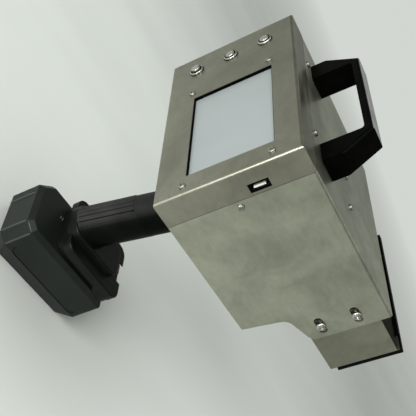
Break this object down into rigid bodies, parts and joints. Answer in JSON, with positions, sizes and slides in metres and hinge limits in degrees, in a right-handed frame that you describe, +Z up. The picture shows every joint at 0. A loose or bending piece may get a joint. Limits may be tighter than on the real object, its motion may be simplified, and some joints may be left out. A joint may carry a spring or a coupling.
{
  "type": "date code inkjet printer",
  "caption": "Hand-held date code inkjet printer: steel box with touch screen, pistol grip, slide-on battery, carry handle and adjustable nozzle shroud.",
  "frame": {"origin": "centre of the overall bounding box at the level of the battery underside, where the tool stands", "axes": "+Z up from the battery through the grip to the carry handle, +Y in the print direction (the screen faces -Y), +X towards the side plate with the USB socket"},
  "size_m": [0.1894, 0.2184, 0.32],
  "materials": {
    "brushed_steel": "brushed",
    "bare_steel": "satin",
    "chrome": "polished",
    "screw_steel": "satin",
    "black_moulding": "fine texture",
    "handle_black": "semi gloss",
    "black_rubber": "matte",
    "battery_black": "fine texture",
    "red_plastic": "gloss",
    "touch_glass": "glossy",
    "display_grey": "matte",
    "foam": "matte",
    "board_green": "semi gloss",
    "chip_black": "matte",
    "usb_insulator": "matte",
    "tank_white": "translucent look",
    "tube_clear": "glossy",
    "brass": "satin",
    "cell_wrap": "gloss",
    "aluminium": "anodised"
  },
  "bodies": {
    "frame": {"screen_cover": "brushed_steel", "cover_tabs": "bare_steel", "body_wrap": "brushed_steel", "bottom_pan": "brushed_steel", "front_bulkhead": "bare_steel", "shroud_guide": "bare_steel", "panel_screws": "screw_steel", "wrap_screws": "screw_steel", "lcd_gasket": "foam", "touch_glass": "touch_glass", "lcd_module": "display_grey", "lcd_bracket": "bare_steel", "button_bezels": "chrome", "button_bodies": "chip_black", "button_nuts": "chrome", "usb_shell": "bare_steel", "usb_tongue": "usb_insulator", "usb_board": "board_green", "control_board": "board_green", "board_standoffs": "brass", "board_parts": "chip_black", "ink_tank": "tank_white", "ink_tank_cap": "black_moulding", "ink_pump": "aluminium", "pump_bracket": "black_moulding", "suction_tube": "tube_clear", "pressure_tube": "tube_clear", "ink_manifold": "aluminium", "head_housing": "black_moulding", "nozzle_plate": "bare_steel", "valve_bank": "screw_steel", "head_screws": "screw_steel", "carry_handle": "handle_black", "handle_screws": "screw_steel", "grip_half_near": "black_moulding", "grip_half_far": "black_moulding", "grip_collar": "black_moulding", "grip_sleeve": "black_rubber", "grip_screws": "screw_steel", "trigger_switch": "chip_black", "trigger_spring": "screw_steel", "battery_foot": "black_moulding", "foot_terminals": "brass"},
    "power_button": {"power_button": "chrome"},
    "menu_button": {"menu_button": "chrome"},
    "print_button": {"print_button": "chrome"},
    "shroud": {"nozzle_shroud": "brushed_steel", "slot_screws": "chrome", "slot_nuts": "screw_steel", "face_trim": "black_rubber"},
    "trigger": {"trigger": "black_moulding"},
    "battery": {"battery_case_upper": "battery_black", "battery_case_lower": "battery_black", "battery_cells": "cell_wrap", "battery_board": "board_green", "battery_terminals": "brass", "release_spring": "screw_steel", "battery_screws": "screw_steel"},
    "release_button": {"release_button": "red_plastic"}
  },
  "joints": [
    {"name": "power_button_press", "type": "slide", "parent": "frame", "child": "power_button", "axis": [0, 1, 0], "range_m": [0, 0.0012], "stiffness_N_per_m": 400, "springref_m": -0.0015},
    {"name": "menu_button_press", "type": "slide", "parent": "frame", "child": "menu_button", "axis": [0, 1, 0], "range_m": [0, 0.0012], "stiffness_N_per_m": 400, "springref_m": -0.0015},
    {"name": "print_button_press", "type": "slide", "parent": "frame", "child": "print_button", "axis": [0, 1, 0], "range_m": [0, 0.0012], "stiffness_N_per_m": 400, "springref_m": -0.0015},
    {"name": "shroud_slide", "type": "slide", "parent": "frame", "child": "shroud", "axis": [0, 1, 0], "range_m": [-0.0062, 0.0062]},
    {"name": "trigger_pull", "type": "slide", "parent": "frame", "child": "trigger", "axis": [0, -1, 0], "range_m": [0, 0.006], "stiffness_N_per_m": 500, "springref_m": -0.004, "deforming": ["trigger_spring"]},
    {"name": "battery_slide_off", "type": "slide", "parent": "frame", "child": "battery", "axis": [0, 1, 0], "range_m": [0, 0.1]},
    {"name": "release_press", "type": "slide", "parent": "battery", "child": "release_button", "axis": [0, 0, -1], "range_m": [0, 0.0024], "stiffness_N_per_m": 500, "springref_m": -0.003, "deforming": ["release_spring"]}
  ]
}
